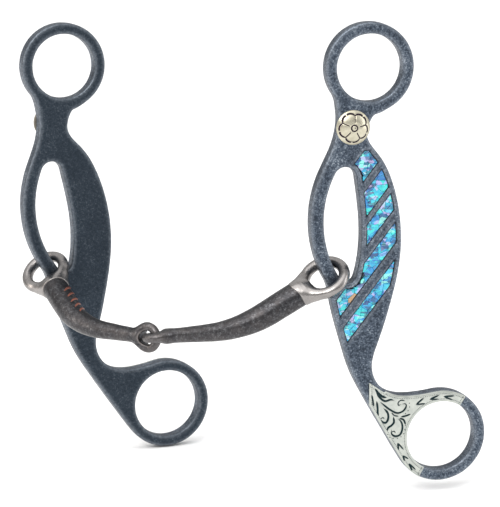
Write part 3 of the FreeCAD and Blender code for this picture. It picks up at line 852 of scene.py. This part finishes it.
def opal_material():
    """Crushed opal: turquoise, cyan and blue flakes with lilac and green fire, over a dark bed."""
    s = Shader("opal", Coat_Weight=1.0, Coat_Roughness=0.03)
    chip, tone = s.read("chip"), s.read("tone")
    bend = s.node("ShaderNodeTexNoise", {"Vector": s.place, "Scale": 900.0, "Detail": 2.0}).outputs["Color"]
    bent = s.node("ShaderNodeVectorMath", {0: bend, 1: (0.0009,) * 3}, operation="MULTIPLY").outputs[0]
    place = s.node("ShaderNodeVectorMath", {0: s.place, 1: bent}, operation="ADD").outputs[0]
    turned = s.node("ShaderNodeMapping", {"Vector": place, "Rotation": (0, RIB_ANGLE, 0),
                                          "Scale": (0.60, 1.0, 1.0)}).outputs[0]
    flakes = []
    for size in (2.3, 1.25):
        cells = s.node("ShaderNodeTexVoronoi", {"Vector": turned, "Scale": 1 / (size * MM)})
        flakes.append(s.node("ShaderNodeSeparateColor", {"Color": cells.outputs["Color"]}))
    big, small = flakes
    pick = s.math("ADD", s.math("MULTIPLY", s.math("SUBTRACT", chip, 1.0), 0.45),
                  s.math("MULTIPLY", big.outputs[0], 0.55))
    base = s.ramp(pick, [(0.10, (0.000, 0.030, 0.120)), (0.24, (0.000, 0.100, 0.340)),
                         (0.38, (0.000, 0.210, 0.520)), (0.50, (0.000, 0.330, 0.540)),
                         (0.60, (0.000, 0.430, 0.520)), (0.70, (0.010, 0.560, 0.500)),
                         (0.80, (0.030, 0.400, 0.680)), (0.90, (0.380, 0.340, 0.720)),
                         (0.97, (0.250, 0.740, 0.560))])
    streak = s.noise(1.6, 3, 0.6, (0.45, 1.0, 1.5))
    base = s.mix(s.span(streak, 0.54, 0.68, 0.0, 0.6), base, (0.060, 0.700, 0.680))
    base = s.mix(s.span(streak, 0.34, 0.46, 0.75, 0.0), base, (0.000, 0.060, 0.220))
    light = s.math("GREATER_THAN", small.outputs[0], 0.88)
    base = s.mix(s.math("MULTIPLY", light, 0.6), base, (0.300, 0.820, 0.640))
    rose = s.math("GREATER_THAN", small.outputs[1], 0.88)
    base = s.mix(s.math("MULTIPLY", rose, 0.55), base, (0.560, 0.420, 0.720))
    deep = s.math("GREATER_THAN", small.outputs[2], 0.80)
    base = s.mix(s.math("MULTIPLY", deep, 0.7), base, (0.000, 0.040, 0.130))
    amber = s.math("GREATER_THAN", tone, 0.985)
    base = s.mix(amber, base, (0.420, 0.250, 0.120))
    bed = s.math("LESS_THAN", chip, 0.5)
    s.feed("Base Color", s.mix(bed, base, (0.004, 0.008, 0.014)))
    s.feed("Metallic", s.math("MULTIPLY", s.math("SUBTRACT", 1.0, bed), 0.15))
    s.feed("Roughness", s.span(big.outputs[1], 0.0, 1.0, 0.14, 0.36))
    s.bump((big.outputs[2], 0.03), (s.noise(0.5, 3), 0.02))
    return s.material


# ---- pieces ----------------------------------------------------------------------------------

def add(name, base, matrix, body, slot, material, *nodes):
    """One finished piece: a placed copy of a mesh, riding its body in place of CAD nodes."""
    mesh = base.copy()
    mesh.name = name
    mesh.transform(matrix)
    if matrix.determinant() < 0:
        mesh.flip_normals()
    mesh.materials.clear()
    mesh.materials.append(material)
    piece = bpy.data.objects.new(name, mesh)
    bpy.context.scene.collection.objects.link(piece)
    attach(piece, body)
    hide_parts(*nodes)
    return piece


steel, iron, stainless = steel_material(), iron_material(), stainless_material()
copper, opals = copper_material(), opal_material()
overlay_silver = silver_material("overlay_silver", (0.52, 0.54, 0.50), (0.42, 0.445, 0.415),
                                 (0.018, 0.034, 0.038))
button_silver = silver_material("button_silver", (0.56, 0.53, 0.42), (0.44, 0.41, 0.315),
                                (0.020, 0.010, 0.024))

rng = random.Random(CHIP_SEED)
cheek_parts = [("plate", plate(), "antiqued_steel", steel, "cheek"),
               ("flower_concho", flower(), "german_silver", button_silver, "concho"),
               ("engraved_silver", silver(), "german_silver", overlay_silver, "rein_overlay")]
cheek_parts += [(f"opal_mosaic_{n}", opal(n, rng), "opal", opals, f"inlay_{n}") for n in range(1, 6)]

ring_mesh = surface("ring", ring_field, (-10.6, -10.6, -5.9), (14.2, 10.6, 5.9), RING_FACE)
iron_mesh = surface("iron", iron_field, (9.4, -40.0, -7.0), (74.0, 6.0, 7.0), IRON_FACE)
mark_wear_and_corner_shade(iron_mesh, 10, 0.12)
strips = [copper_strip(n) for n in range(COPPERS)]

for side, handed in (("near", 1), ("off", -1)):
    flat = cheek_frame(side, handed)
    for name, mesh, slot, material, node in cheek_parts:
        add(f"{side}_{name}", mesh, flat, f"{side}_cheek", slot, material, f"{side}_{node}")
    half = mouth_frame(f"{side}_swivel", f"{side}_eye_turn", handed)
    body = f"{side}_mouth"
    add(f"{side}_ring_and_ferrule", ring_mesh, half, body, "stainless", stainless,
        f"{side}_end_ring", f"{side}_ferrule")
    add(f"{side}_iron_bar", iron_mesh, half, body, "sweet_iron", iron,
        f"{side}_mouth_bar", f"{side}_centre_eye")
    for n, strip in enumerate(strips, 1):
        add(f"{side}_copper_strip_{n}", strip, half, body, "copper", copper, f"{side}_copper_{n}")


# ---- floor, light and camera -----------------------------------------------------------------

def staged_floor():
    """Plain pale floor just under the bit."""
    shader = Shader("floor", Roughness=0.9)
    shader.bsdf.inputs["Specular IOR Level"].default_value = 0.1
    pale = [(0.0, (0.93, 0.93, 0.93)), (1.0, (0.95, 0.95, 0.95))]
    shader.feed("Base Color", shader.ramp(shader.noise(40.0), pale))
    low = cad_box[0].z - FLOOR_DROP * MM
    points = [(-9, -9, low), (9, -9, low), (9, 9, low), (-9, 9, low)]
    floor = bpy.data.objects.new("floor", mesh_of("floor", points, [(0, 1, 2, 3)]))
    floor.data.materials.append(shader.material)
    bpy.context.scene.collection.objects.link(floor)


def light(name, place, aim, size, power, colour=(1, 1, 1)):
    """A soft rectangular lamp pointed at a place."""
    lamp = bpy.data.lights.new(name, "AREA")
    lamp.shape, lamp.size, lamp.size_y = "RECTANGLE", *size
    lamp.energy, lamp.color = power, colour
    holder = bpy.data.objects.new(name, lamp)
    holder.location = place
    holder.rotation_euler = (Vector(aim) - Vector(place)).to_track_quat("-Z", "Y").to_euler()
    bpy.context.scene.collection.objects.link(holder)


def studio():
    """Pale surroundings, brighter above, so that the metal has something soft to mirror."""
    world = bpy.data.worlds.new("studio")
    bpy.context.scene.world = world
    world.use_nodes = True
    nodes, links = world.node_tree.nodes, world.node_tree.links
    sky = nodes["Background"]
    place = nodes.new("ShaderNodeTexCoord")
    split = nodes.new("ShaderNodeSeparateXYZ")
    shade = nodes.new("ShaderNodeValToRGB")
    links.new(place.outputs["Generated"], split.inputs[0])
    height = nodes.new("ShaderNodeMapRange")
    height.inputs["From Min"].default_value = -1.0
    links.new(split.outputs["Z"], height.inputs["Value"])
    links.new(height.outputs[0], shade.inputs["Fac"])
    stops = [(0.0, 0.85), (0.47, 0.60), (0.53, 0.30), (0.60, 0.55), (0.78, 1.0), (1.0, 1.0)]
    ramp = shade.color_ramp
    while len(ramp.elements) < len(stops):
        ramp.elements.new(0.5)
    for element, (at, value) in zip(ramp.elements, stops):
        element.position, element.color = at, (value, value, value, 1)
    links.new(shade.outputs[0], sky.inputs["Color"])
    sky.inputs["Strength"].default_value = 0.95
    middle = (cad_box[0] + cad_box[1]) / 2
    light("key", (middle.x - 0.55, -0.75, 0.70), middle, (0.45, 0.45), 5.0, (1.0, 0.985, 0.96))
    light("fill", (middle.x + 0.9, -0.4, 0.20), middle, (0.30, 0.8), 2.5)
    light("side", (middle.x - 0.9, 0.10, 0.05), middle, (0.30, 0.8), 3.0, (1.0, 0.92, 0.84))
    sun = bpy.data.lights.new("daylight", "SUN")
    sun.energy, sun.angle = 1.5, math.radians(70)
    holder = bpy.data.objects.new("daylight", sun)
    holder.rotation_euler = Vector((0.35, 0.45, -1.0)).to_track_quat("-Z", "Y").to_euler()
    bpy.context.scene.collection.objects.link(holder)
    bpy.context.scene.view_settings.view_transform = "Standard"


def camera():
    """Camera at the viewing angle of a catalogue picture, level, a little above the bit."""
    lens = bpy.data.cameras.new("camera")
    lens.lens, lens.sensor_width = 173.3, 36.0
    lens.clip_start, lens.clip_end = 0.01, 50.0
    holder = bpy.data.objects.new("camera", lens)
    right, up, back = (0.972, -0.235, 0.0), (0.048, 0.200, 0.978), (-0.230, -0.951, 0.206)
    turn = Matrix((right, up, back)).transposed()
    holder.rotation_euler = turn.to_euler()
    holder.location = (-0.2546, -0.8659, 0.1190)
    bpy.context.scene.collection.objects.link(holder)
    bpy.context.scene.camera = holder


staged_floor()
studio()
camera()
